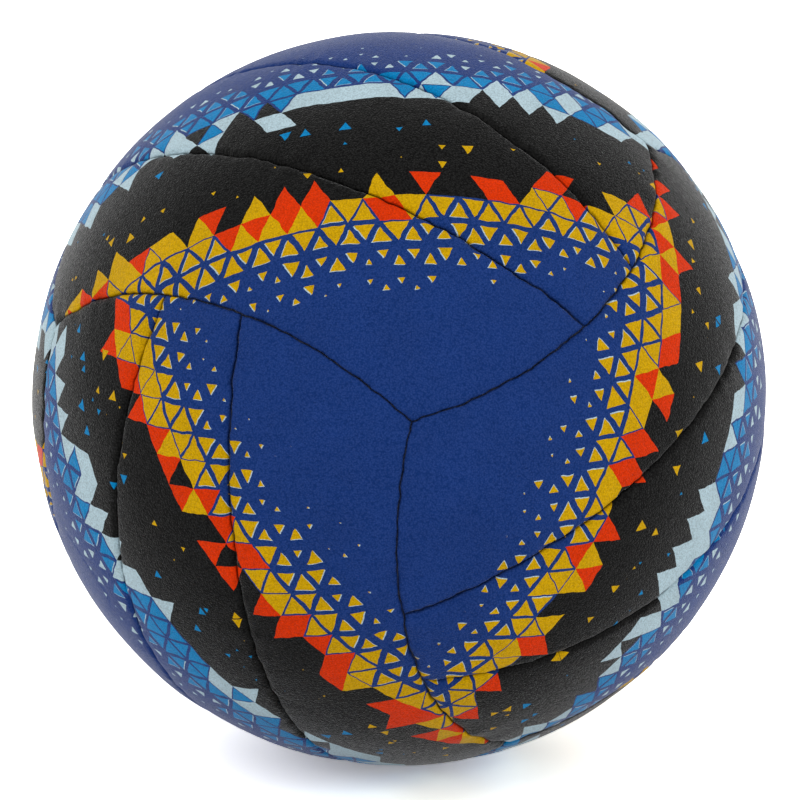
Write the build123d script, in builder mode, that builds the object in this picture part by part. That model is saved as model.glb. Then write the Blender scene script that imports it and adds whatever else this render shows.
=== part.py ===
from build123d import *
import os
from math import acos, asin, cos, degrees, radians, sin, sqrt

# Sizes are in millimetres and angles in degrees. The ball's centre is the origin.
ball_diameter = 210.0
cover_thickness = 1.8
edge_round = 1.2
seam_gap = 0.3

lining_thickness = 0.5
layer_gap = 0.1

thread_diameter = 0.6
thread_clearance = 0.05
thread_side_clearance = 1.2
thread_end_clearance = 1.0

bladder_wall = 0.6

valve_hole_diameter = 9.4
valve_hole_clearance = 0.2
valve_recess = 0.3
valve_edge_round = 0.4
valve_end_wall = 4.6
valve_flange_diameter = 28.0
valve_flange_thickness = 1.0
valve_patch_diameter = 26.0
valve_patch_clearance = 0.3

plug_diameter = 5.2
plug_clearance = 0.05
plug_end_clearance = 0.4
plug_end_wall = 5.0
plug_head_diameter = 6.8
plug_head_thickness = 1.4
plug_edge_round = 0.3

needle_bore_diameter = 2.2
needle_bore_depth = 10.0
needle_mouth_diameter = 3.8
needle_mouth_depth = 0.8

# How the ball lies on the floor: its panel layout turned about X, Y and Z
rest_angles = (126.6, -32.6, 15.3)

# The eight corners of the layout lie on a cube's corners, so the seams between the faces
# are circles at this latitude about a face's across direction. Three strips share it.
edge_latitude = degrees(asin(1 / sqrt(3)))
strip_latitude = edge_latitude / 3

outer_radius = ball_diameter / 2
cover_inner = outer_radius - cover_thickness
lining_outer = cover_inner - layer_gap
lining_inner = lining_outer - lining_thickness
thread_radius = cover_inner - thread_clearance - thread_diameter / 2
thread_inner = thread_radius - thread_diameter / 2 - thread_clearance
bladder_outer = min(lining_inner - layer_gap, thread_inner)
bladder_inner = bladder_outer - bladder_wall
cover_round = min(edge_round, 0.75 * cover_thickness)
cover_margin = seam_gap / 2
lining_margin = thread_diameter / 2 + thread_side_clearance

valve_top = outer_radius - valve_recess
valve_stem_radius = valve_hole_diameter / 2 - valve_hole_clearance
valve_flange_outer = bladder_inner - layer_gap
valve_flange_inner = valve_flange_outer - valve_flange_thickness
valve_flange_latitude = degrees(asin(valve_flange_diameter / 2 / valve_flange_outer))
valve_patch_latitude = degrees(asin(valve_patch_diameter / 2 / lining_outer))
plug_length = needle_bore_depth + plug_end_wall
valve_length = plug_length + plug_end_clearance + valve_end_wall
plug_seat_radius = plug_head_diameter / 2 + plug_clearance
valve_round = min(valve_edge_round, 0.4 * (valve_stem_radius - plug_seat_radius))
plug_rim = (plug_head_diameter - needle_mouth_diameter) / 2
plug_round = min(plug_edge_round, 0.4 * plug_rim)

# Each face's plane has X along its strips, Y across them and Z out of the ball
layout = Plane(Location((0, 0, 0), rest_angles))
faces = {
    "upper": Plane((0, 0, 0), x_dir=layout.x_dir, z_dir=layout.y_dir),
    "lower": Plane((0, 0, 0), x_dir=layout.x_dir, z_dir=-layout.y_dir),
    "front_right": Plane((0, 0, 0), x_dir=layout.z_dir, z_dir=layout.x_dir),
    "rear_left": Plane((0, 0, 0), x_dir=layout.z_dir, z_dir=-layout.x_dir),
    "front_left": Plane((0, 0, 0), x_dir=layout.y_dir, z_dir=layout.z_dir),
    "rear_right": Plane((0, 0, 0), x_dir=layout.y_dir, z_dir=-layout.z_dir),
}
valve_face = "rear_right"
strips = {"side_%s_1": -1, "middle_%s": 0, "side_%s_2": 1}


def section(face):
    # The plane across a face's strips: X is the face's Y, and Y points out of the ball
    return Plane((0, 0, 0), x_dir=face.y_dir, z_dir=face.x_dir)


def far_section(face):
    # The same plane on the other side of the ball
    return Plane((0, 0, 0), x_dir=face.y_dir, z_dir=-face.x_dir)


def along(face):
    return Axis((0, 0, 0), face.x_dir)


def across(face):
    return Axis((0, 0, 0), face.y_dir)


def outward(face):
    return Axis((0, 0, 0), face.z_dir)


def strip_seam(face, side):
    # The face's plane turned about its X, until its Z points at the middle of a strip seam
    turned = face.z_dir.rotate(along(face), -side * strip_latitude)
    return Plane((0, 0, 0), x_dir=face.x_dir, z_dir=turned)


def ring_sector(inner, outer, low, high):
    with BuildSketch() as sector:
        with BuildLine():
            rim = CenterArc((0, 0), outer, 90 - high, high - low)
            back = CenterArc((0, 0), inner, 90 - high, high - low)
            Line(rim @ 0, back @ 0)
            Line(rim @ 1, back @ 1)
        make_face()
    return sector.sketch


def write(piece, node):
    piece.part.label = node
    export_step(piece.part, "parts/%s.step" % node)


def strip_outline(place, radius, margin):
    # A strip seen along its length, with its edges a margin away from the seams' middles
    clear = degrees(margin / radius)
    low = radius * sin(radians(edge_latitude + clear))
    high = 1.2 * radius
    lean = radians(strip_latitude)
    if place == 0:
        half_low = (low * sin(lean) - margin) / cos(lean)
        half_high = (high * sin(lean) - margin) / cos(lean)
        return [(-half_low, low), (half_low, low), (half_high, high), (-half_high, high)]
    near_low = place * (low * sin(lean) + margin) / cos(lean)
    near_high = place * (high * sin(lean) + margin) / cos(lean)
    edge = place * radius * sin(radians(edge_latitude - clear))
    return [(near_low, low), (edge, low), (edge, high), (near_high, high)]


def strip_skin(face, place, radius, margin):
    # The part of a sphere that one strip covers. The ball's own seam line is kept away
    with BuildPart() as ball:
        with BuildSketch(far_section(face)):
            with BuildLine():
                rim = CenterArc((0, 0), radius, 0, 180)
                Line(rim @ 0, rim @ 1)
            make_face()
        revolve(axis=across(face))
        with BuildSketch(section(face)):
            Polygon(*strip_outline(place, radius, margin), align=None)
        extrude(amount=radius, both=True, mode=Mode.INTERSECT)
    return ball.faces().filter_by(GeomType.SPHERE)[0]


def seam_thread(frame, latitude, half_arc):
    # A length of thread on a circle about the frame's Y, even on both sides of its Z
    turned = frame.x_dir.rotate(across(frame), -half_arc)
    start = Plane((0, 0, 0), x_dir=frame.y_dir, z_dir=turned)
    place = (thread_radius * sin(radians(latitude)), thread_radius * cos(radians(latitude)))
    with BuildPart() as length:
        with BuildSketch(start):
            with Locations(place):
                Circle(thread_diameter / 2)
        revolve(axis=across(frame), revolution_arc=2 * half_arc)
    return length.part


os.makedirs("parts", exist_ok=True)

# Cover panels and the linings behind them
for face_name, face in faces.items():
    for strip_name, place in strips.items():
        has_valve = face_name == valve_face and place == 0

        with BuildPart() as panel:
            thicken(strip_skin(face, place, outer_radius, cover_margin), amount=-cover_thickness)
            rim_edges = panel.edges().filter_by(
                lambda edge: (edge @ 0.5).length > outer_radius - 0.01
            )
            fillet(rim_edges, radius=cover_round)
            if has_valve:
                with BuildSketch(face):
                    Circle(valve_hole_diameter / 2)
                extrude(amount=ball_diameter, mode=Mode.SUBTRACT)
        write(panel, face_name + "_" + strip_name % "panel")

        with BuildPart() as lining:
            thicken(strip_skin(face, place, lining_outer, lining_margin), amount=-lining_thickness)
            if has_valve:
                with BuildSketch(face):
                    Circle(valve_patch_diameter / 2 + valve_patch_clearance)
                extrude(amount=ball_diameter, mode=Mode.SUBTRACT)
        write(lining, face_name + "_" + strip_name % "lining")

# Threads: two along the strip seams of each face, and two along its long edges
edge_circle = thread_radius * cos(radians(edge_latitude))
corner_arc = 45 - degrees((thread_diameter + thread_end_clearance) / edge_circle)
strip_end_arc = degrees(acos(sin(radians(edge_latitude)) / cos(radians(strip_latitude))))
strip_arc = strip_end_arc - degrees((thread_diameter + thread_end_clearance) / thread_radius)
for face_name, face in faces.items():
    with BuildPart() as strip_threads:
        add(seam_thread(strip_seam(face, -1), 0, strip_arc))
        add(seam_thread(strip_seam(face, 1), 0, strip_arc))
    write(strip_threads, face_name + "_strip_threads")

    with BuildPart() as edge_threads:
        add(seam_thread(face, -edge_latitude, corner_arc))
        add(seam_thread(face, edge_latitude, corner_arc))
    write(edge_threads, face_name + "_edge_threads")

# Bladder, with the hole that the valve's stem comes through
valve_plane = faces[valve_face]
with BuildPart() as bladder:
    with BuildSketch(section(valve_plane)):
        add(ring_sector(bladder_inner, bladder_outer, 0, 180))
    revolve(axis=outward(valve_plane))
    with BuildSketch(valve_plane):
        Circle(valve_hole_diameter / 2)
    extrude(amount=ball_diameter, mode=Mode.SUBTRACT)
write(bladder, "bladder")

# Disc that stiffens the panel round the valve, set in its lining
with BuildPart() as valve_patch:
    with BuildSketch(section(valve_plane)):
        add(ring_sector(lining_inner, lining_outer, 0, valve_patch_latitude))
    revolve(axis=outward(valve_plane))
    with BuildSketch(valve_plane):
        Circle(valve_hole_diameter / 2)
    extrude(amount=ball_diameter, mode=Mode.SUBTRACT)
write(valve_patch, "valve_patch")

# Valve body: a stem with a flange under the bladder and a blind hole for the plug
with BuildPart() as valve_body:
    with BuildSketch(section(valve_plane)):
        with Locations((0, valve_top)):
            Rectangle(valve_stem_radius, valve_length, align=(Align.MIN, Align.MAX))
        add(ring_sector(valve_flange_inner, valve_flange_outer, 0, valve_flange_latitude))
        with Locations((0, valve_top)):
            Rectangle(
                plug_seat_radius,
                plug_head_thickness,
                align=(Align.MIN, Align.MAX),
                mode=Mode.SUBTRACT,
            )
            Rectangle(
                plug_diameter / 2 + plug_clearance,
                plug_length + plug_end_clearance,
                align=(Align.MIN, Align.MAX),
                mode=Mode.SUBTRACT,
            )
    revolve(axis=outward(valve_plane))
    fillet(valve_body.edges().group_by(outward(valve_plane))[-1], radius=valve_round)
write(valve_body, "valve_body")

# Valve plug, with the blind hole that takes the pump needle
with BuildPart() as valve_plug:
    with BuildSketch(section(valve_plane)):
        with Locations((0, valve_top)):
            Rectangle(plug_diameter / 2, plug_length, align=(Align.MIN, Align.MAX))
            Rectangle(
                plug_head_diameter / 2, plug_head_thickness, align=(Align.MIN, Align.MAX)
            )
            Rectangle(
                needle_bore_diameter / 2,
                needle_bore_depth,
                align=(Align.MIN, Align.MAX),
                mode=Mode.SUBTRACT,
            )
        Polygon(
            (0, valve_top),
            (needle_mouth_diameter / 2, valve_top),
            (needle_bore_diameter / 2, valve_top - needle_mouth_depth),
            (0, valve_top - needle_mouth_depth),
            align=None,
            mode=Mode.SUBTRACT,
        )
    revolve(axis=outward(valve_plane))
    fillet(valve_plug.edges().group_by(outward(valve_plane))[-1], radius=plug_round)
write(valve_plug, "valve_plug")
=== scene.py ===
import math
import bpy
import numpy as np
from mathutils import Matrix, Vector


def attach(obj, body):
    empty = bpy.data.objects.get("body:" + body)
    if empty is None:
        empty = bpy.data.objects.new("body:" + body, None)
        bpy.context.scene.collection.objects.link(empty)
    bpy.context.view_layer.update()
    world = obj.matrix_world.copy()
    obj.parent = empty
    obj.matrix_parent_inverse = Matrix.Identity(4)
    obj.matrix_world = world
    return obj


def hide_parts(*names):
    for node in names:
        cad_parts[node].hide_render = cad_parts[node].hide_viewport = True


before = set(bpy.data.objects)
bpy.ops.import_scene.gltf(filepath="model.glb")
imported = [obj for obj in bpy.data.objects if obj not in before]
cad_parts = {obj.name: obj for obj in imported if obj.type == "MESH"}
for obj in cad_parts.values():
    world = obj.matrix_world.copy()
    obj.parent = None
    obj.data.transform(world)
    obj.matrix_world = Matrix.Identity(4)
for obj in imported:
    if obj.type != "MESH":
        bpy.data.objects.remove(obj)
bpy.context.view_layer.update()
scene = bpy.context.scene
bpy.ops.object.select_all(action="DESELECT")
print("frame loaded,", len(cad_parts), "nodes")

mm = 0.001

ball = {
    "radius": 105.0,                       # mm, to the crown of the cover
    "coverThickness": 1.8,                 # mm
    "seamGap": 0.16,                       # mm
    "restAngles": (126.6, -32.6, 15.3),    # degrees about X, Y and Z, how it lies on the floor
    "edgeLatitude": math.asin(1 / math.sqrt(3)),        # seams between faces
    "stripLatitude": math.asin(1 / math.sqrt(3)) / 3,   # seams between the strips of a face
}

turns = [Matrix.Rotation(math.radians(a), 3, axis) for a, axis in zip(ball["restAngles"], "XYZ")]
layout = turns[0] @ turns[1] @ turns[2]
layX, layY, layZ = (np.array(layout.col[i]) for i in range(3))

# each face: the way its strips run, and the way it looks out of the ball
faceAxes = {
    "upper": (layX, layY),
    "lower": (layX, -layY),
    "front_right": (layZ, layX),
    "rear_left": (layZ, -layX),
    "front_left": (layY, layZ),
    "rear_right": (layY, -layZ),
}
stripNames = {-1: "side_panel_1", 0: "middle_panel", 1: "side_panel_2"}
valveFace = "rear_right"


def toLinear(hexColour):
    parts = [int(hexColour[i:i + 2], 16) / 255 for i in (1, 3, 5)]
    linear = [c / 12.92 if c <= 0.04045 else ((c + 0.055) / 1.055) ** 2.4 for c in parts]
    return (*linear, 1.0)


def addNode(tree, kind, inputs=None, **settings):
    # plain values go on the sockets, nodes and sockets are linked to them
    node = tree.nodes.new("ShaderNode" + kind)
    for key, value in settings.items():
        setattr(node, key, value)
    for key, value in (inputs or {}).items():
        if isinstance(value, bpy.types.Node):
            value = next(out for out in value.outputs if out.enabled)
        if isinstance(value, bpy.types.NodeSocket):
            tree.links.new(value, node.inputs[key])
        else:
            node.inputs[key].default_value = value
    return node


def newMaterial(name):
    material = bpy.data.materials.new(name)
    material.use_nodes = True
    material.node_tree.nodes.clear()
    return material, material.node_tree


# Printed PU leather: polyurethane skin on a foam-backed cloth, rolled with a fine pebble grain and then
# screen printed. The eye gets flat, crisp inks under one low satin gloss, which breaks up on the grain.
# The real pores are finer than a pixel of the render, so they are drawn somewhat coarser, to show.
leatherLook = {
    "blue": "#123475", "black": "#060606", "yellow": "#cb9f02", "orange": "#d63402",
    "cyan": "#007fba", "pale": "#b1c8d1",
    "bare": "#a9a9a6",            # the skin under the inks, also the tone of the painted glints on the high grain
    "mapUnit": 100.0,             # mm to one unit of the print map
    "sashTurn": 34.0,             # degrees from the strips
    "sashShift": -18.0,           # mm
    "sashHalf": 16.5,             # mm, half the width of the dark sash
    "sashBend": 0.0016,           # 1/mm
    "inkSpan": 120.0,             # mm, over which the inks change across the sash
    "orangeWidth": 3.5,           # mm, on the warm side of the sash
    "paleWidth": 6.0,             # mm, on its cool side
    "cyanEnd": 19.0,              # mm from the sash
    "tileSide": 8.4,              # mm, side of a printed triangle
    "tileInset": (0.04, 0.36),    # share of a tile that stays blank at its sides, near the sash and far off
    "fullReach": 6.0,             # mm, in which the triangles still touch
    "fadeReach": 27.0,            # mm, over which they shrink away
    "jitter": 10.0,               # mm, steps in the edges of the sash
    "slip": (0.26, 0.14),         # mm, between the two printings
    "slipReach": 5.0,             # mm past the touching triangles, where the slip begins to show
    "chipSide": 3.6,              # mm, the small loose triangles
    "chipMargin": 6.0,            # mm, between them and the edges of the sash
    "chipChance": 0.94,           # above this a place has one
    "chipInset": 0.34,            # blank share of the smallest
    "cloudSize": 14.0,            # mm, uneven ink
    "cloudShade": (0.93, 1.06),
    "seamShadeReach": 0.4,             # mm from a seam, over which shade in the groove and a little dirt are painted
    "seamShadeLevel": 0.3,
    "warpSize": 2.2,              # mm, the grain wanders over this
    "warpReach": 0.5,             # mm
    "grainSize": 0.48,            # mm, pebbles
    "poreSize": 0.3,              # mm
    "poreShare": 0.8,             # of the pebbles' height
    "pleatSize": (0.42, 1.3),     # mm, short creases across the strips
    "pleatShare": 0.4,
    "foldSize": (1.2, 8.0),       # mm, longer ones, in patches
    "foldShare": (0.03, 0.4),     # where the skin is tight, and where it is slack
    "patchSize": 26.0,            # mm
    "grainHeight": 0.16,          # mm
    "paintedGrainShading": (0.77, 1.16),  # painted shade in the low grain and painted light on the high grain
    "bareAndGlintShare": 0.03,            # of skin that shows through dark ink on the high grain, partly wear and partly painted glints
    "gloss": (0.29, 0.38),        # roughness
    "bloom": (0.26, 0.005),       # sheen of black ink and of bright inks
    "polish": (0.1, 1.9),         # how much of that the low and the rubbed high creases have
}


def triangleTiles(tree, along, across, side, seed):
    # a triangle lattice: how far inside its tile a point is, the tile's middle, and a random value for it
    twoRows = math.sqrt(3) * side
    slant = addNode(tree, "Math", {0: along, 1: 1 / side}, operation="MULTIPLY")
    i = addNode(tree, "Math", {0: across, 1: -1 / twoRows, 2: slant}, operation="MULTIPLY_ADD")
    j = addNode(tree, "Math", {0: across, 1: 2 / twoRows}, operation="MULTIPLY")
    iCell = addNode(tree, "Math", {0: i}, operation="FLOOR")
    jCell = addNode(tree, "Math", {0: j}, operation="FLOOR")
    iPart = addNode(tree, "Math", {0: i, 1: iCell}, operation="SUBTRACT")
    jPart = addNode(tree, "Math", {0: j, 1: jCell}, operation="SUBTRACT")
    both = addNode(tree, "Math", {0: iPart, 1: jPart}, operation="ADD")
    flipped = addNode(tree, "Math", {0: both, 1: 1.0}, operation="GREATER_THAN")
    toSides = []
    for edge, part in ((flipped, iPart), (flipped, jPart), (1.0, both)):
        gap = addNode(tree, "Math", {0: edge, 1: part}, operation="SUBTRACT")
        toSides.append(addNode(tree, "Math", {0: gap}, operation="ABSOLUTE"))
    nearer = addNode(tree, "Math", {0: toSides[0], 1: toSides[1]}, operation="MINIMUM")
    inset = addNode(tree, "Math", {0: nearer, 1: toSides[2]}, operation="MINIMUM")
    step = addNode(tree, "Math", {0: flipped, 1: 1 / 3, 2: 1 / 3}, operation="MULTIPLY_ADD")
    iMid = addNode(tree, "Math", {0: iCell, 1: step}, operation="ADD")
    jMid = addNode(tree, "Math", {0: jCell, 1: step}, operation="ADD")
    sideways = addNode(tree, "Math", {0: jMid, 1: 0.5, 2: iMid}, operation="MULTIPLY_ADD")
    alongMid = addNode(tree, "Math", {0: sideways, 1: side}, operation="MULTIPLY")
    acrossMid = addNode(tree, "Math", {0: jMid, 1: twoRows / 2}, operation="MULTIPLY")
    cell = addNode(tree, "CombineXYZ", {0: iMid, 1: jMid, 2: seed})
    chance = addNode(tree, "TexWhiteNoise", {0: cell}, noise_dimensions="3D")
    return inset, alongMid, acrossMid, chance.outputs["Value"]


def bentSash(tree, along, across):
    # distance from the curved line that the sash follows, in mm
    squared = addNode(tree, "Math", {0: along, 1: along}, operation="MULTIPLY")
    bend = -leatherLook["sashBend"]
    return addNode(tree, "Math", {0: squared, 1: bend, 2: across}, operation="MULTIPLY_ADD")


def sashTiles(tree, along, across, seed):
    # which points are on a printed tile, and the tile's distance from the sash's middle and edge, in mm
    look = leatherLook
    inset, alongMid, acrossMid, chance = triangleTiles(tree, along, across, look["tileSide"], seed)
    bent = bentSash(tree, alongMid, acrossMid)
    start = -look["jitter"] / 2 - look["sashShift"]
    shake = addNode(tree, "Math", {0: chance, 1: look["jitter"], 2: start}, operation="MULTIPLY_ADD")
    field = addNode(tree, "Math", {0: bent, 1: shake}, operation="ADD")
    fromMiddle = addNode(tree, "Math", {0: field}, operation="ABSOLUTE")
    outside = addNode(tree, "Math", {0: fromMiddle, 1: look["sashHalf"]}, operation="SUBTRACT")
    # tiles fill their place on the sash and get smaller away from it
    full = look["fullReach"]
    limit = addNode(tree, "MapRange", {
        "Value": outside, "From Min": full, "From Max": full + look["fadeReach"],
        "To Min": look["tileInset"][0], "To Max": look["tileInset"][1],
    })
    loose = addNode(tree, "Math", {0: outside, 1: full}, operation="GREATER_THAN")
    overlap = -0.001   # so that no line is left where tiles touch
    limit = addNode(tree, "Math", {0: loose, 1: limit, 2: overlap}, operation="MULTIPLY_ADD")
    shown = addNode(tree, "Math", {0: inset, 1: limit}, operation="GREATER_THAN")
    return shown, field, outside


def printColour(tree, printMap, seed):
    look = leatherLook
    turned = addNode(tree, "Mapping", {
        "Vector": printMap, "Scale": (look["mapUnit"],) * 3,
        "Rotation": (0, 0, -math.radians(look["sashTurn"])),
    })
    axes = addNode(tree, "SeparateXYZ", {0: turned})
    along, across = axes.outputs[0], axes.outputs[1]

    # the pale ink under the bright ones was printed a little out of place and shows beside the loose tiles
    shown, field = sashTiles(tree, along, across, seed)[:2]
    underAlong = addNode(tree, "Math", {0: along, 1: look["slip"][0]}, operation="ADD")
    underAcross = addNode(tree, "Math", {0: across, 1: look["slip"][1]}, operation="ADD")
    under, outside = sashTiles(tree, underAlong, underAcross, seed)[::2]
    slipStart = look["fullReach"] + look["slipReach"]
    slipped = addNode(tree, "Math", {0: outside, 1: slipStart}, operation="GREATER_THAN")
    under = addNode(tree, "Math", {0: under, 1: slipped}, operation="MULTIPLY")
    blue, pale, yellow, cyan = (toLinear(look[ink]) for ink in ("blue", "pale", "yellow", "cyan"))
    ground = addNode(tree, "Mix", {0: under, 6: blue, 7: pale}, data_type="RGBA")

    span, edge = look["inkSpan"], look["sashHalf"]
    spot = addNode(tree, "Math", {0: field, 1: 1 / span, 2: 0.5}, operation="MULTIPLY_ADD")
    inks = addNode(tree, "ValToRGB", {0: spot})
    inks.color_ramp.interpolation = "CONSTANT"
    stops = [
        (-span / 2, "yellow"), (-edge - look["orangeWidth"], "orange"), (-edge, "black"),
        (edge, "pale"), (edge + look["paleWidth"], "cyan"), (edge + look["cyanEnd"], "pale"),
    ]
    while len(inks.color_ramp.elements) < len(stops):
        inks.color_ramp.elements.new(0.5)
    for element, (distance, ink) in zip(inks.color_ramp.elements, stops):
        element.position = distance / span + 0.5
        element.color = toLinear(look[ink])
    printed = addNode(tree, "Mix", {0: shown, 6: ground, 7: inks}, data_type="RGBA")

    # small loose triangles on the sash, warm on one side and cool on the other
    chipInset, chipAlong, chipAcross, chance = triangleTiles(tree, along, across, look["chipSide"], seed)
    chipBent = bentSash(tree, chipAlong, chipAcross)
    chipField = addNode(tree, "Math", {0: chipBent, 1: look["sashShift"]}, operation="SUBTRACT")
    chipReach = edge - look["chipMargin"]
    onSash = addNode(tree, "Math", {0: chipField, 1: 0.0, 2: chipReach}, operation="COMPARE")
    chipLimit = addNode(tree, "MapRange", {
        "Value": chance, "From Min": look["chipChance"], "From Max": 1.0,
        "To Min": look["chipInset"], "To Max": 0.0,
    })
    chipShown = addNode(tree, "Math", {0: chipInset, 1: chipLimit}, operation="GREATER_THAN")
    chipShown = addNode(tree, "Math", {0: chipShown, 1: onSash}, operation="MULTIPLY")
    coolSide = addNode(tree, "Math", {0: chipField, 1: 0.0}, operation="GREATER_THAN")
    chipInk = addNode(tree, "Mix", {0: coolSide, 6: yellow, 7: cyan}, data_type="RGBA")
    return addNode(tree, "Mix", {0: chipShown, 6: printed, 7: chipInk}, data_type="RGBA")


def leatherRelief(tree, place, printMap):
    # pebble grain with finer pores, short creases across the strips, and longer folds where the skin is slack
    look = leatherLook
    warp = addNode(tree, "TexNoise", {"Vector": place, "Scale": 1 / (look["warpSize"] * mm), "Detail": 2.0})
    reach = (look["warpReach"] * mm,) * 3
    bentPlace = addNode(tree, "VectorMath", {
        0: warp.outputs["Color"], 1: reach, 2: place,
    }, operation="MULTIPLY_ADD")
    pebbles = addNode(tree, "TexVoronoi", {
        "Vector": bentPlace, "Scale": 1 / (look["grainSize"] * mm), "Smoothness": 0.6,
    }, feature="SMOOTH_F1")
    pores = addNode(tree, "TexNoise", {
        "Vector": place, "Scale": 1 / (look["poreSize"] * mm), "Detail": 2.0, "Roughness": 0.6,
    })
    creases = []
    for (alongSize, acrossSize), detail, distortion in (
        (look["pleatSize"], 2.0, 0.5),
        (look["foldSize"], 1.0, 0.6),
    ):
        stretched = addNode(tree, "Mapping", {
            "Vector": printMap,
            "Scale": (look["mapUnit"] / alongSize, look["mapUnit"] / acrossSize, 1),
        })
        creases.append(addNode(tree, "TexNoise", {
            "Vector": stretched, "Scale": 1.0, "Detail": detail, "Distortion": distortion,
        }))
    pleats, folds = creases
    patches = addNode(tree, "TexNoise", {
        "Vector": place, "Scale": 1 / (look["patchSize"] * mm), "Detail": 1.0,
    })
    slack = addNode(tree, "MapRange", {
        "Value": patches, "From Min": 0.45, "From Max": 0.65,
        "To Min": look["foldShare"][0], "To Max": look["foldShare"][1],
    })
    relief = addNode(tree, "Math", {0: 1.0, 1: pebbles}, operation="SUBTRACT")
    relief = addNode(tree, "Math", {0: pleats, 1: look["pleatShare"], 2: relief}, operation="MULTIPLY_ADD")
    relief = addNode(tree, "Math", {0: pores, 1: look["poreShare"], 2: relief}, operation="MULTIPLY_ADD")
    folds = addNode(tree, "Math", {0: folds, 1: 0.5}, operation="SUBTRACT")
    relief = addNode(tree, "Math", {0: folds, 1: slack, 2: relief}, operation="MULTIPLY_ADD")
    return relief, pores, pleats


def printedLeather():
    look = leatherLook
    material, tree = newMaterial("printedPuLeather")
    place = addNode(tree, "TexCoord").outputs["Object"]
    printMap = addNode(tree, "UVMap", uv_map="printMap")
    seamDistance = addNode(tree, "Attribute", attribute_name="seamDistance").outputs["Fac"]   # mm
    faceNumber = addNode(tree, "Attribute", attribute_name="faceNumber").outputs["Fac"]
    seed = addNode(tree, "Math", {0: faceNumber}, operation="ROUND")
    printed = printColour(tree, printMap, seed)
    relief, pores, pleats = leatherRelief(tree, place, printMap)
    bump = addNode(tree, "Bump", {"Height": relief, "Strength": 1.0, "Distance": look["grainHeight"] * mm})

    # handling: a little uneven ink, a little dirt in the seams, and painted shade in the seam grooves.
    # Painted shade in the low grain and painted light on the high grain
    cloudy = addNode(tree, "TexNoise", {
        "Vector": place, "Scale": 1 / (look["cloudSize"] * mm), "Detail": 5.0, "Roughness": 0.6,
    })
    uneven = addNode(tree, "MapRange", {
        "Value": cloudy, "From Min": 0.3, "From Max": 0.7,
        "To Min": look["cloudShade"][0], "To Max": look["cloudShade"][1],
    })
    # painted shade in the seam grooves, with a little dirt: darker towards each seam
    seamShadeAndDirt = addNode(tree, "MapRange", {
        "Value": seamDistance, "From Min": 0.0, "From Max": look["seamShadeReach"],
        "To Min": look["seamShadeLevel"], "To Max": 1.0,
    })
    # painted shade in the low grain and painted light on the high grain, from the grain's height
    grainLightAndShade = addNode(tree, "MapRange", {
        "Value": relief, "From Min": 0.75, "From Max": 1.45,
        "To Min": look["paintedGrainShading"][0], "To Max": look["paintedGrainShading"][1],
    })
    shade = addNode(tree, "Math", {0: uneven, 1: seamShadeAndDirt}, operation="MULTIPLY")
    shade = addNode(tree, "Math", {0: shade, 1: grainLightAndShade}, operation="MULTIPLY")
    inked = addNode(tree, "VectorMath", {0: printed, 1: shade}, operation="MULTIPLY")

    # dark ink is worn thin on the high grain, where the pale skin also stands in as painted glints on the
    # grain tops; bright inks cover well
    parts = addNode(tree, "SeparateColor", {0: printed})
    bright = addNode(tree, "Math", {0: parts.outputs[0], 1: parts.outputs[1]}, operation="ADD")
    cover = addNode(tree, "MapRange", {
        "Value": bright, "From Min": 0.06, "From Max": 0.18, "To Min": look["bareAndGlintShare"], "To Max": 0.0,
    })
    # partly worn ink, partly a painted highlight on the high grain of the dark inks
    wearAndGlint = addNode(tree, "MapRange", {
        "Value": relief, "From Min": 0.9, "From Max": 1.5, "To Min": 0.0, "To Max": cover,
    })
    wornAndGlinting = addNode(tree, "Mix", {0: wearAndGlint, 6: inked, 7: toLinear(look["bare"])}, data_type="RGBA")

    # black ink shines most, bright inks lie thick and matt, and the tops of the creases are rubbed smooth
    mottle = addNode(tree, "Math", {0: cloudy, 1: pores}, operation="ADD")
    gloss = addNode(tree, "MapRange", {
        "Value": mottle, "From Min": 0.7, "From Max": 1.3,
        "To Min": look["gloss"][0], "To Max": look["gloss"][1],
    })
    bright = addNode(tree, "Math", {0: bright, 1: parts.outputs[2]}, operation="ADD")
    bloom = addNode(tree, "MapRange", {
        "Value": bright, "From Min": 0.02, "From Max": 0.32,
        "To Min": look["bloom"][0], "To Max": look["bloom"][1],
    })
    polish = addNode(tree, "MapRange", {
        "Value": pleats, "From Min": 0.36, "From Max": 0.64,
        "To Min": look["polish"][0], "To Max": look["polish"][1],
    })
    bloom = addNode(tree, "Math", {0: bloom, 1: polish}, operation="MULTIPLY")
    skin = addNode(tree, "BsdfPrincipled", {
        "Base Color": wornAndGlinting, "Roughness": gloss, "IOR": 1.45, "Specular IOR Level": 0.04,
        "Sheen Weight": bloom, "Sheen Roughness": 0.3, "Normal": bump,
    })
    addNode(tree, "OutputMaterial", {"Surface": skin})
    return material


# EVA foam backing: closed-cell sheet, sliced and glued. Matt, with tiny open cells on the cut edge.
foamLook = {"light": "#5a5854", "dark": "#3a3937", "cell": 0.45, "depth": 0.06}   # mm


def foamBacking():
    material, tree = newMaterial("slicedEvaFoam")
    place = addNode(tree, "TexCoord").outputs["Object"]
    cells = addNode(tree, "TexVoronoi", {"Vector": place, "Scale": 1 / (foamLook["cell"] * mm)})
    depth = cells.outputs["Distance"]
    dark, light = toLinear(foamLook["dark"]), toLinear(foamLook["light"])
    tone = addNode(tree, "Mix", {0: depth, 6: dark, 7: light}, data_type="RGBA")
    bump = addNode(tree, "Bump", {"Height": depth, "Strength": 0.8, "Distance": foamLook["depth"] * mm})
    foam = addNode(tree, "BsdfPrincipled", {
        "Base Color": tone, "Roughness": 0.9, "IOR": 1.45, "Normal": bump,
    })
    addNode(tree, "OutputMaterial", {"Surface": foam})
    return material


leather = printedLeather()
foam = foamBacking()
print("cover materials made")

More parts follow.
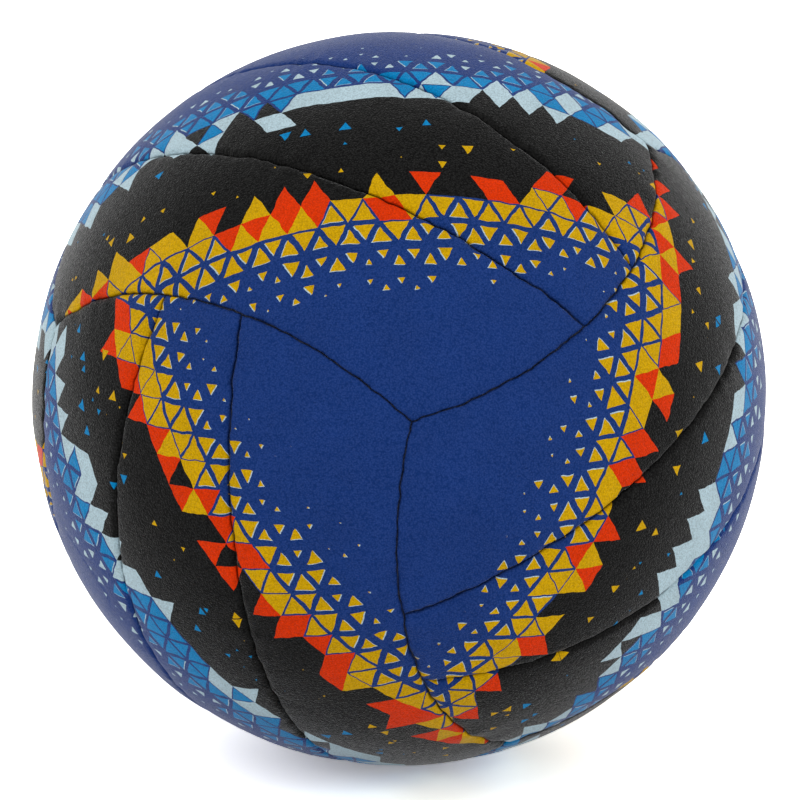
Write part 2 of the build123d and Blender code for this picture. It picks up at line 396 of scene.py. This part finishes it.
# all lengths in mm
panel = {
    "edgeSteps": (0, 0.05, 0.13, 0.25, 0.42, 0.65, 0.95, 1.3, 1.7, 2.2, 2.8, 3.5, 4.3),   # from an edge
    "alongSpan": 180.0, "alongStep": 0.85,
    "acrossSpan": 42.0, "acrossStep": 1.0,
    "rollWidth": 1.9, "rollDepth": 1.3,              # the edge turned in to the seam
    "shoulderDepth": 0.36, "shoulderReach": 1.9,     # the foam gives way beside it
    "deepest": 1.55,                                 # leaves some skin over the back
    "tightReach": (10.0, 45.0), "tightPart": 0.55,   # seams are drawn tight near a corner
    "partedSize": 9.0, "partedMean": 0.9, "partedSwing": 0.2, "partedLimits": (0.6, 1.15),
    "crown": 0.12, "crownReach": 10.0,
    "stitchPitch": 3.8, "stitchPull": 0.15, "stitchReach": 1.6,
    "firmSize": 16.0, "firmMean": 0.8, "firmSwing": 0.5, "firmLimits": (0.1, 1.8),   # how hard a stitch pulls
    "puckerSize": 7.0, "puckerHeight": 0.13, "puckerReach": 4.0,
    "wanderSizes": ((15.0, 0.12), (5.2, 0.10), (2.4, 0.06)),   # wavelength and amount, sideways
    "swellSize": 32.0, "swellHeight": 0.07,
    "creaseSize": 36.0, "creaseDepth": 0.13, "creaseWidth": 0.15,
    "creasePatch": 55.0, "creaseLimit": 0.5,         # above this the slower noise allows creases
    "holeDiameter": 9.4, "holeRoll": 0.35, "holeRollWidth": 1.0,
    "holeStep": 0.5,                                 # finer mesh, for a clean cut
    "calmReach": (2.0, 12.0), "calmPart": 0.3,       # the valve keeps the skin round it flat
    "punchDepth": 12.0, "punchSides": 96,
    "smoothAngle": 50.0,                             # degrees
}
seeds = {
    "firm": 11, "pucker": 12, "swell": 13, "crease": 14, "creasePatch": 15, "parted": 16,
    "drift": (21, 22, 23),
}


def ripple(points, size, seed):
    # smooth noise with about that wavelength, from two dozen waves in fixed directions
    waves = 24
    draw = np.random.default_rng(seed)
    heading = draw.normal(size=(3, waves))
    heading *= draw.uniform(0.7, 1.35, waves) * 2 * math.pi / size / np.linalg.norm(heading, axis=0)
    return np.cos(points @ heading + draw.uniform(0, 2 * math.pi, waves)).sum(axis=1) / math.sqrt(waves / 2)


def smoothStep(share):
    return share * share * (3 - 2 * share)


def roundedEdge(share):
    # a quarter circle, from 1 at an edge to 0
    return 1 - np.sqrt(1 - (1 - np.clip(share, 0, 1)) ** 2)


def gradedRow(span, step):
    # 0 to 1 over a span, close together near both ends
    edge = np.array(panel["edgeSteps"])
    count = round((span - 2 * edge[-1]) / step)
    inner = np.linspace(edge[-1], span - edge[-1], count + 1)
    return np.concatenate([edge[:-1], inner, span - edge[-2::-1]]) / span


def stripPoints(place, alongRow, acrossRow):
    # unit directions in face axes: X along the strip, Y across, Z out. One row of points per step along
    gap = ball["seamGap"] / 2 / ball["radius"]
    s, v = np.meshgrid(2 * alongRow - 1, acrossRow, indexing="ij")
    if place == 0:
        lean = (2 * v - 1) * (ball["stripLatitude"] - gap)
        offset = 0 * v
    else:
        outer = v if place > 0 else 1 - v
        lean = place * (1 - outer) * (ball["stripLatitude"] + gap)
        offset = place * outer * math.sin(ball["edgeLatitude"] - gap)
    reach = np.sqrt(1 - offset ** 2)
    endHeight = math.sin(ball["edgeLatitude"] + gap)
    t = s * np.arccos((endHeight + offset * np.sin(lean)) / (reach * np.cos(lean)))
    x = reach * np.sin(t)
    y = offset * np.cos(lean) + reach * np.cos(t) * np.sin(lean)
    z = reach * np.cos(t) * np.cos(lean) - offset * np.sin(lean)
    return np.stack([x, y, z], axis=-1).reshape(-1, 3)


def seamsAround(place):
    # the seam circles round a strip: normal, latitude and the axis along it, in face axes
    lean = ball["stripLatitude"]
    rightSeam = (np.array((0, math.cos(lean), -math.sin(lean))), 0.0, 0)
    leftSeam = (np.array((0, math.cos(lean), math.sin(lean))), 0.0, 0)
    ends = (np.array((0, 0, 1.0)), ball["edgeLatitude"], 1)
    edge = (np.array((0, 1.0, 0)), place * ball["edgeLatitude"], 0)
    return {-1: [leftSeam, edge, ends], 0: [leftSeam, rightSeam, ends], 1: [rightSeam, edge, ends]}[place]


def softSurface(points, axes, place, hasValve):
    # height of the skin over the ball, sideways drift, and distance to the nearest seam, all in mm
    radius = ball["radius"]
    world = points @ axes * radius
    flatRoll = np.ones(len(points))
    flatShoulder = np.ones(len(points))
    tuck = np.zeros(len(points))
    nearest = np.full(len(points), np.inf)
    fromCorner = np.arccos(np.clip(np.abs(points).sum(axis=1) / math.sqrt(3), -1, 1)) * radius
    tightStart, tightEnd = panel["tightReach"]
    ease = smoothStep(np.clip((fromCorner - tightStart) / (tightEnd - tightStart), 0, 1))
    ease = panel["tightPart"] + (1 - panel["tightPart"]) * ease
    for normal, latitude, way in seamsAround(place):
        height = points @ normal
        distance = np.clip(np.abs(np.arcsin(height) - latitude) * radius - ball["seamGap"] / 2, 0, None)
        foot = points - height[:, None] * normal
        foot *= math.cos(latitude) / np.linalg.norm(foot, axis=1)[:, None]
        run = np.arcsin(np.clip(foot[:, way] / math.cos(latitude), -1, 1)) * math.cos(latitude) * radius
        foot = (foot + math.sin(latitude) * normal) @ axes * radius
        # the edges part more in some places than in others
        patchy = ripple(foot, panel["partedSize"], seeds["parted"])
        parted = panel["partedMean"] + panel["partedSwing"] * patchy
        parted = ease * np.clip(parted, *panel["partedLimits"])
        flatRoll *= 1 - parted * roundedEdge(distance / panel["rollWidth"])
        flatShoulder *= 1 - np.exp(-distance / panel["shoulderReach"])
        pull = 0.5 + 0.5 * np.cos(2 * math.pi * run / panel["stitchPitch"])
        firm = panel["firmMean"] + panel["firmSwing"] * ripple(foot, panel["firmSize"], seeds["firm"])
        pull = np.clip(firm, *panel["firmLimits"]) * pull
        tuck -= panel["stitchPull"] * pull * np.exp(-distance / panel["stitchReach"])
        pucker = ripple(foot, panel["puckerSize"], seeds["pucker"])
        tuck += panel["puckerHeight"] * pucker * np.exp(-distance / panel["puckerReach"])
        nearest = np.minimum(nearest, distance)
    height = -panel["rollDepth"] * (1 - flatRoll) - panel["shoulderDepth"] * ease * (1 - flatShoulder) + tuck
    height += panel["crown"] * smoothStep(np.clip(nearest / panel["crownReach"], 0, 1))
    height += panel["swellHeight"] * ripple(world, panel["swellSize"], seeds["swell"])
    # a few long creases, where a slow noise is near zero and a slower one allows them
    fold = np.exp(-(ripple(world, panel["creaseSize"], seeds["crease"]) / panel["creaseWidth"]) ** 2)
    allowed = ripple(world, panel["creasePatch"], seeds["creasePatch"]) - panel["creaseLimit"]
    height -= panel["creaseDepth"] * fold * np.clip(allowed, 0, 1)
    height = np.maximum(height, -panel["deepest"])
    drift = sum(
        amount * np.stack([ripple(world, size, seed) for seed in seeds["drift"]], axis=-1)
        for size, amount in panel["wanderSizes"]
    )
    drift -= np.sum(drift * world, axis=1)[:, None] * world / radius ** 2
    if hasValve:
        fromHole = np.arccos(np.clip(points[:, 2], -1, 1)) * radius - panel["holeDiameter"] / 2
        calmStart, calmEnd = panel["calmReach"]
        calm = np.clip((fromHole - calmStart) / (calmEnd - calmStart), 0, 1)
        drift *= calm[:, None]
        height = height * (panel["calmPart"] + (1 - panel["calmPart"]) * calm)
        height -= panel["holeRoll"] * roundedEdge(fromHole / panel["holeRollWidth"])
    return height, drift, nearest


def makePanel(name, faceNumber, axes, place, hasValve):
    alongRow = gradedRow(panel["alongSpan"], panel["holeStep"] if hasValve else panel["alongStep"])
    acrossRow = gradedRow(panel["acrossSpan"], panel["holeStep"] if hasValve else panel["acrossStep"])
    points = stripPoints(place, alongRow, acrossRow)
    height, drift, nearest = softSurface(points, axes, place, hasValve)
    out = points @ axes
    front = out * (ball["radius"] + height)[:, None] + drift
    back = out * (ball["radius"] - ball["coverThickness"]) + drift
    rows, cols = len(alongRow), len(acrossRow)
    total = rows * cols
    index = np.arange(total).reshape(rows, cols)
    corners = (index[:-1, :-1], index[1:, :-1], index[1:, 1:], index[:-1, 1:])
    frontFaces = np.stack([corner.ravel() for corner in corners], axis=1)
    backFaces = frontFaces[:, ::-1] + total
    rim = np.concatenate([index[:-1, 0], index[-1, :-1], index[:0:-1, -1], index[0, :0:-1]])
    nextRim = np.roll(rim, -1)
    wallFaces = np.stack([nextRim, rim, rim + total, nextRim + total], axis=1)
    faces = np.concatenate([frontFaces, wallFaces, backFaces])

    mesh = bpy.data.meshes.new(name)
    mesh.vertices.add(2 * total)
    mesh.vertices.foreach_set("co", (np.concatenate([front, back]) * mm).ravel())
    mesh.loops.add(faces.size)
    mesh.loops.foreach_set("vertex_index", faces.ravel())
    mesh.polygons.add(len(faces))
    mesh.polygons.foreach_set("loop_start", np.arange(0, faces.size, 4))
    mesh.materials.append(leather)
    mesh.materials.append(foam)
    slots = np.ones(len(faces), dtype=np.int32)
    slots[:len(frontFaces)] = 0
    mesh.polygons.foreach_set("material_index", slots)
    mesh.update(calc_edges=True)
    mesh.validate()

    # the print lies flat on its face: distances from the middle of the face are kept
    angle = np.arccos(np.clip(points[:, 2], -1, 1))
    spread = np.where(angle > 1e-6, angle / np.sin(np.maximum(angle, 1e-6)), 1.0)
    flat = points[:, :2] * spread[:, None] * ball["radius"] / leatherLook["mapUnit"]
    flat = np.concatenate([flat, flat])
    mesh.uv_layers.new(name="printMap").data.foreach_set("uv", flat[faces.ravel()].ravel())
    seam = mesh.attributes.new("seamDistance", "FLOAT", "POINT")
    seam.data.foreach_set("value", np.concatenate([nearest, 0 * nearest]))
    number = mesh.attributes.new("faceNumber", "FLOAT", "POINT")
    number.data.foreach_set("value", np.full(2 * total, float(faceNumber)))

    piece = bpy.data.objects.new(name, mesh)
    scene.collection.objects.link(piece)
    bpy.ops.object.select_all(action="DESELECT")
    piece.select_set(True)
    bpy.context.view_layer.objects.active = piece
    if hasValve:
        cutValveHole(piece, axes[2], faceNumber)
    bpy.ops.object.shade_smooth_by_angle(angle=math.radians(panel["smoothAngle"]))
    piece.select_set(False)
    return piece


def cutValveHole(piece, outward, faceNumber):
    # a round punch, pressed through the cover along the valve
    holeRadius = panel["holeDiameter"] / 2
    bpy.ops.mesh.primitive_cylinder_add(
        vertices=panel["punchSides"], radius=holeRadius * mm, depth=panel["punchDepth"] * mm,
        location=Vector(outward) * ball["radius"] * mm,
        rotation=Vector(outward).to_track_quat("Z", "Y").to_euler(),
    )
    punch = bpy.context.active_object
    punch.data.materials.append(foam)
    bpy.context.view_layer.objects.active = piece
    cut = piece.modifiers.new("valveHole", "BOOLEAN")
    cut.object = punch
    cut.operation = "DIFFERENCE"
    cut.solver = "EXACT"
    bpy.ops.object.modifier_apply(modifier=cut.name)
    bpy.data.objects.remove(punch)
    # the cut leaves its new points without numbers: none of them is near a seam
    mesh = piece.data
    spots = np.empty(3 * len(mesh.vertices))
    mesh.vertices.foreach_get("co", spots)
    spots = spots.reshape(-1, 3) / mm
    fromAxis = np.linalg.norm(np.cross(spots, outward), axis=1)
    distances = np.empty(len(spots))
    seam = mesh.attributes["seamDistance"]
    seam.data.foreach_get("value", distances)
    distances[fromAxis < holeRadius + panel["holeStep"]] = panel["acrossSpan"] / 2
    seam.data.foreach_set("value", distances)
    mesh.attributes["faceNumber"].data.foreach_set("value", np.full(len(spots), float(faceNumber)))
    bpy.ops.object.select_all(action="DESELECT")
    piece.select_set(True)


for faceNumber, (face, (alongWay, outWay)) in enumerate(faceAxes.items()):
    axes = np.stack([alongWay, np.cross(outWay, alongWay), outWay])
    for place, strip in stripNames.items():
        node = face + "_" + strip
        piece = makePanel("cover_" + node, faceNumber, axes, place, face == valveFace and place == 0)
        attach(piece, "ball")
        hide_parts(node)
    print("panels made on the", face, "face")

bandsToUnit = 3.2   # a wave node has about this many bands in a unit


def yarnPair(tree, yarn, **wobble):
    # the two sets of yarns of a plain weave, turned to lie with the panels
    place = addNode(tree, "TexCoord").outputs["Object"]
    back = tuple(-math.radians(a) for a in ball["restAngles"])
    turned = addNode(tree, "Mapping", {"Vector": place, "Rotation": back})
    inputs = {"Vector": turned, "Scale": 1 / (2 * yarn * mm * bandsToUnit), **wobble}
    waves = [addNode(tree, "TexWave", inputs, wave_type="BANDS", bands_direction=way) for way in "XY"]
    return [wave.outputs["Fac"] for wave in waves]


# Woven lining: polyester-cotton in a plain weave, glued to the foam. Off-white, with the yarns just showing.
liningLook = {"light": "#cfc8b6", "dark": "#9b937f", "yarn": 0.7, "relief": 0.08}   # mm


def wovenLining():
    look = liningLook
    material, tree = newMaterial("wovenPolycotton")
    wobble = {"Distortion": 0.6, "Detail": 1.0, "Detail Scale": 2.0}
    warpYarn, weftYarn = yarnPair(tree, look["yarn"], **wobble)
    weave = addNode(tree, "Math", {0: warpYarn, 1: weftYarn}, operation="MAXIMUM")
    dark, light = toLinear(look["dark"]), toLinear(look["light"])
    tone = addNode(tree, "Mix", {0: weave, 6: dark, 7: light}, data_type="RGBA")
    bump = addNode(tree, "Bump", {"Height": weave, "Strength": 1.0, "Distance": look["relief"] * mm})
    cloth = addNode(tree, "BsdfPrincipled", {
        "Base Color": tone, "Roughness": 0.85, "IOR": 1.45, "Sheen Weight": 0.15, "Normal": bump,
    })
    addNode(tree, "OutputMaterial", {"Surface": cloth})
    return material


# Waxed polyester thread: twisted plies drawn through wax. Dark, with a slight shine along the twist.
threadLook = {"light": "#4a4a4c", "dark": "#1d1d1f", "twist": 0.9, "relief": 0.05}   # mm


def waxedThread():
    look = threadLook
    material, tree = newMaterial("waxedPolyesterThread")
    place = addNode(tree, "TexCoord").outputs["Object"]
    plies = addNode(tree, "TexWave", {
        "Vector": place, "Scale": 1 / (look["twist"] * mm * bandsToUnit), "Distortion": 1.0, "Detail": 2.0,
    }, wave_type="BANDS", bands_direction="DIAGONAL").outputs["Fac"]
    dark, light = toLinear(look["dark"]), toLinear(look["light"])
    tone = addNode(tree, "Mix", {0: plies, 6: dark, 7: light}, data_type="RGBA")
    bump = addNode(tree, "Bump", {"Height": plies, "Strength": 1.0, "Distance": look["relief"] * mm})
    thread = addNode(tree, "BsdfPrincipled", {
        "Base Color": tone, "Roughness": 0.5, "IOR": 1.5, "Normal": bump,
    })
    addNode(tree, "OutputMaterial", {"Surface": thread})
    return material


# Butyl rubber: moulded and dusted with talc. Near black, dull, clouded by the powder.
bladderLook = {"rubber": "#19191a", "talc": "#4c4b49", "cloud": 11.0, "relief": 0.1}   # mm


def butylBladder():
    look = bladderLook
    material, tree = newMaterial("mouldedButylRubber")
    place = addNode(tree, "TexCoord").outputs["Object"]
    clouds = addNode(tree, "TexNoise", {
        "Vector": place, "Scale": 1 / (look["cloud"] * mm), "Detail": 6.0, "Roughness": 0.65,
    })
    dust = addNode(tree, "MapRange", {"Value": clouds, "From Min": 0.45, "From Max": 0.75})
    rubber, talc = toLinear(look["rubber"]), toLinear(look["talc"])
    tone = addNode(tree, "Mix", {0: dust, 6: rubber, 7: talc}, data_type="RGBA")
    gloss = addNode(tree, "MapRange", {"Value": dust, "To Min": 0.5, "To Max": 0.9})
    bump = addNode(tree, "Bump", {"Height": clouds, "Strength": 0.4, "Distance": look["relief"] * mm})
    skin = addNode(tree, "BsdfPrincipled", {
        "Base Color": tone, "Roughness": gloss, "IOR": 1.52, "Normal": bump,
    })
    addNode(tree, "OutputMaterial", {"Surface": skin})
    return material


# Valve rubber: compression moulded from a spark-finished tool. Fine even matt, with a faint grey bloom.
valveLook = {
    "body": "#1b1b1c", "plug": "#27272a", "bloom": "#3b3b3d",
    "grit": 0.35, "relief": 0.02, "cloud": 3.0,   # mm
}


def valveRubber(name, colour):
    look = valveLook
    material, tree = newMaterial(name)
    place = addNode(tree, "TexCoord").outputs["Object"]
    grit = addNode(tree, "TexNoise", {"Vector": place, "Scale": 1 / (look["grit"] * mm), "Detail": 2.0})
    bloom = addNode(tree, "TexNoise", {"Vector": place, "Scale": 1 / (look["cloud"] * mm), "Detail": 4.0})
    dust = addNode(tree, "MapRange", {"Value": bloom, "From Min": 0.5, "From Max": 0.8, "To Max": 0.6})
    tone = addNode(tree, "Mix", {0: dust, 6: toLinear(colour), 7: toLinear(look["bloom"])}, data_type="RGBA")
    gloss = addNode(tree, "MapRange", {
        "Value": bloom, "From Min": 0.3, "From Max": 0.7, "To Min": 0.42, "To Max": 0.6,
    })
    bump = addNode(tree, "Bump", {"Height": grit, "Strength": 0.7, "Distance": look["relief"] * mm})
    rubber = addNode(tree, "BsdfPrincipled", {
        "Base Color": tone, "Roughness": gloss, "IOR": 1.52, "Normal": bump,
    })
    addNode(tree, "OutputMaterial", {"Surface": rubber})
    return material


# Patch cloth: canvas wiped with rubber solution. Brown-grey, the weave half filled in.
patchLook = {"light": "#7a7266", "dark": "#4c463d", "yarn": 0.9, "relief": 0.06}   # mm


def patchCloth():
    look = patchLook
    material, tree = newMaterial("rubberisedCanvas")
    warpYarn, weftYarn = yarnPair(tree, look["yarn"], Distortion=0.8)
    weave = addNode(tree, "Math", {0: warpYarn, 1: weftYarn}, operation="MULTIPLY")
    dark, light = toLinear(look["dark"]), toLinear(look["light"])
    tone = addNode(tree, "Mix", {0: weave, 6: dark, 7: light}, data_type="RGBA")
    bump = addNode(tree, "Bump", {"Height": weave, "Strength": 0.8, "Distance": look["relief"] * mm})
    cloth = addNode(tree, "BsdfPrincipled", {
        "Base Color": tone, "Roughness": 0.7, "IOR": 1.5, "Normal": bump,
    })
    addNode(tree, "OutputMaterial", {"Surface": cloth})
    return material


finishes = {
    "lining": wovenLining(),
    "threads": waxedThread(),
    "bladder": butylBladder(),
    "valve_body": valveRubber("mouldedValveRubber", valveLook["body"]),
    "valve_plug": valveRubber("mouldedPlugRubber", valveLook["plug"]),
    "valve_patch": patchCloth(),
}
for name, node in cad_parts.items():
    for word, finish in finishes.items():
        if word in name:
            if not node.material_slots:
                node.data.materials.append(finish)
            for slot in node.material_slots:
                slot.material = finish
print("inner pieces finished")

studio = {
    "floorLevel": -105.0,      # mm
    "floorSize": 24.0,         # m
    "floorColour": "#f4f4f4",
    "floorToEye": (2.7, 2.67, 2.52, 1.0),    # a paler shadow, without the blue that the ball throws on it
    "floorGlow": 0.19, "floorShine": 0.45,   # what the eye and what gloss sees of the floor in the shadow
    "worldFront": 0.36, "worldBack": 1.05,   # light from behind the camera, and from the far side
    "worldTurn": (-0.9, 0.2),                # between which the one becomes the other, as Y of a direction
    "cameraDistance": 0.9137,                # m
    "cameraHeight": 12.0,                    # degrees
    "lens": 142.65, "sensor": 36.0,          # mm
    "shift": (0.0008, -0.0020),
}
# soft boxes, aimed at the ball: place in m, width in m, power in W
softBoxes = {
    "overhead": ((-0.5, -1.3, 1.7), 2.0, 12.0),
    "left": ((-1.9, -1.4, 0.7), 1.6, 4.5),
    "right": ((1.9, -1.4, 0.7), 1.6, 12.0),
}
white = (1, 1, 1, 1)

bpy.ops.mesh.primitive_plane_add(size=studio["floorSize"], location=(0, 0, studio["floorLevel"] * mm))
floor = bpy.context.active_object
floor.name = "studioFloor"
# painted floor: sprayed matt white, even and without gloss
floorPaint, tree = newMaterial("mattFloorPaint")
seen = addNode(tree, "LightPath").outputs
floorColours = {6: toLinear(studio["floorColour"]), 7: studio["floorToEye"]}
lift = addNode(tree, "Mix", {0: seen["Is Camera Ray"], **floorColours}, data_type="RGBA")
paint = addNode(tree, "BsdfDiffuse", {"Color": lift})
mirrored = {0: seen["Is Glossy Ray"], 1: seen["Is Transmission Ray"]}
shine = addNode(tree, "Math", mirrored, operation="MAXIMUM")
shine = addNode(tree, "Math", {0: shine, 1: studio["floorShine"]}, operation="MULTIPLY")
toEye = {0: seen["Is Camera Ray"], 1: studio["floorGlow"], 2: shine}
glowLevel = addNode(tree, "Math", toEye, operation="MULTIPLY_ADD")
glow = addNode(tree, "Emission", {"Color": white, "Strength": glowLevel})
addNode(tree, "OutputMaterial", {"Surface": addNode(tree, "AddShader", {0: paint, 1: glow})})
floor.data.materials.append(floorPaint)

world = bpy.data.worlds.new("studio")
scene.world = world
world.use_nodes = True
tree = world.node_tree
tree.nodes.clear()
seen = addNode(tree, "LightPath").outputs
way = addNode(tree, "SeparateXYZ", {0: addNode(tree, "TexCoord").outputs["Generated"]})
depth = addNode(tree, "MapRange", {
    "Value": way.outputs[1], "From Min": studio["worldTurn"][0], "From Max": studio["worldTurn"][1],
    "To Min": studio["worldFront"], "To Max": studio["worldBack"],
}, interpolation_type="SMOOTHSTEP")
level = depth
for ray in ("Is Camera Ray", "Is Glossy Ray", "Is Transmission Ray"):   # these see it white
    level = addNode(tree, "Math", {0: level, 1: seen[ray]}, operation="MAXIMUM")
air = addNode(tree, "Background", {"Color": white, "Strength": level})
addNode(tree, "OutputWorld", {"Surface": air})

for name, (place, width, power) in softBoxes.items():
    lamp = bpy.data.lights.new(name, "AREA")
    lamp.shape = "SQUARE"
    lamp.size = width
    lamp.energy = power
    holder = bpy.data.objects.new(name, lamp)
    holder.location = place
    holder.rotation_euler = (-Vector(place)).to_track_quat("-Z", "Y").to_euler()
    scene.collection.objects.link(holder)

tilt = math.radians(studio["cameraHeight"])
distance = studio["cameraDistance"]
cameraData = bpy.data.cameras.new("camera")
cameraData.lens = studio["lens"]
cameraData.sensor_width = studio["sensor"]
cameraData.shift_x, cameraData.shift_y = studio["shift"]
camera = bpy.data.objects.new("camera", cameraData)
camera.location = (0, -math.cos(tilt) * distance, math.sin(tilt) * distance)
camera.rotation_euler = (math.pi / 2 - tilt, 0, 0)
scene.collection.objects.link(camera)
scene.camera = camera
scene.view_settings.view_transform = "Standard"
print("studio set")
